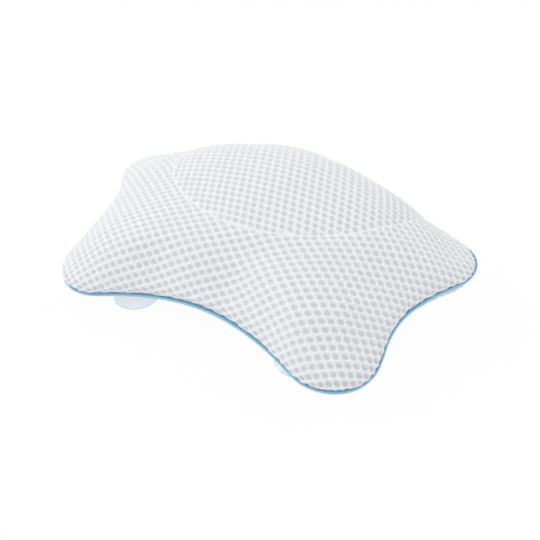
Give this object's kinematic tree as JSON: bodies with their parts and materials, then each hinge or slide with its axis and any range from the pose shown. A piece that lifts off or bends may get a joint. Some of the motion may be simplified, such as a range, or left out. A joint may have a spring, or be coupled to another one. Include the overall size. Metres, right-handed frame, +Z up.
{
  "type": "bath pillow",
  "caption": "Butterfly-shaped bath pillow of white air mesh with a raised head dome, sky-blue piping round its edge and clear suction cups that hold it to a tub.",
  "frame": {"origin": "on the surface that the cup rims stand on, below the middle of the pillow's bounding box", "axes": "+X along the pillow's width, +Y from the shoulder lobes at the front to the head dome at the back, +Z up"},
  "size_m": [0.3822, 0.2633, 0.1023],
  "materials": {
    "air_mesh": "white polyester spacer mesh with staggered oval holes",
    "blue_piping": "sky-blue woven tape over a cord",
    "fibre_fill": "loose white polyester fibre",
    "clear_vinyl": "clear glossy soft vinyl",
    "patch_cloth": "plain white woven polyester"
  },
  "bodies": {
    "pillow": {"head_panel": "air_mesh", "wing_panel": "air_mesh", "base_panel": "air_mesh", "edge_piping": "blue_piping", "head_fill": "fibre_fill", "lower_left_fill": "fibre_fill", "lower_right_fill": "fibre_fill", "upper_left_fill": "fibre_fill", "upper_right_fill": "fibre_fill", "cup_patch_lower_left": "patch_cloth", "cup_patch_lower_right": "patch_cloth", "cup_patch_upper_left": "patch_cloth", "cup_patch_upper_right": "patch_cloth", "cup_patch_front": "patch_cloth", "cup_patch_back": "patch_cloth"},
    "cup_lower_left": {"suction_cup_lower_left": "clear_vinyl"},
    "cup_lower_right": {"suction_cup_lower_right": "clear_vinyl"},
    "cup_upper_left": {"suction_cup_upper_left": "clear_vinyl"},
    "cup_upper_right": {"suction_cup_upper_right": "clear_vinyl"},
    "cup_front": {"suction_cup_front": "clear_vinyl"},
    "cup_back": {"suction_cup_back": "clear_vinyl"}
  },
  "joints": [
    {"name": "lower_left_cup_swivel", "type": "hinge", "parent": "pillow", "child": "cup_lower_left", "pos_m": [-0.0875, -0.08912, 0.01405], "axis": [0, 0, 1], "continuous": true},
    {"name": "lower_right_cup_swivel", "type": "hinge", "parent": "pillow", "child": "cup_lower_right", "pos_m": [0.0875, -0.08912, 0.01405], "axis": [0, 0, 1], "continuous": true},
    {"name": "upper_left_cup_swivel", "type": "hinge", "parent": "pillow", "child": "cup_upper_left", "pos_m": [-0.1275, 0.04388, 0.01405], "axis": [0, 0, 1], "continuous": true},
    {"name": "upper_right_cup_swivel", "type": "hinge", "parent": "pillow", "child": "cup_upper_right", "pos_m": [0.1275, 0.04388, 0.01405], "axis": [0, 0, 1], "continuous": true},
    {"name": "front_cup_swivel", "type": "hinge", "parent": "pillow", "child": "cup_front", "pos_m": [0, -0.04437, 0.01405], "axis": [0, 0, 1], "continuous": true},
    {"name": "back_cup_swivel", "type": "hinge", "parent": "pillow", "child": "cup_back", "pos_m": [0, 0.08612, 0.01405], "axis": [0, 0, 1], "continuous": true}
  ]
}
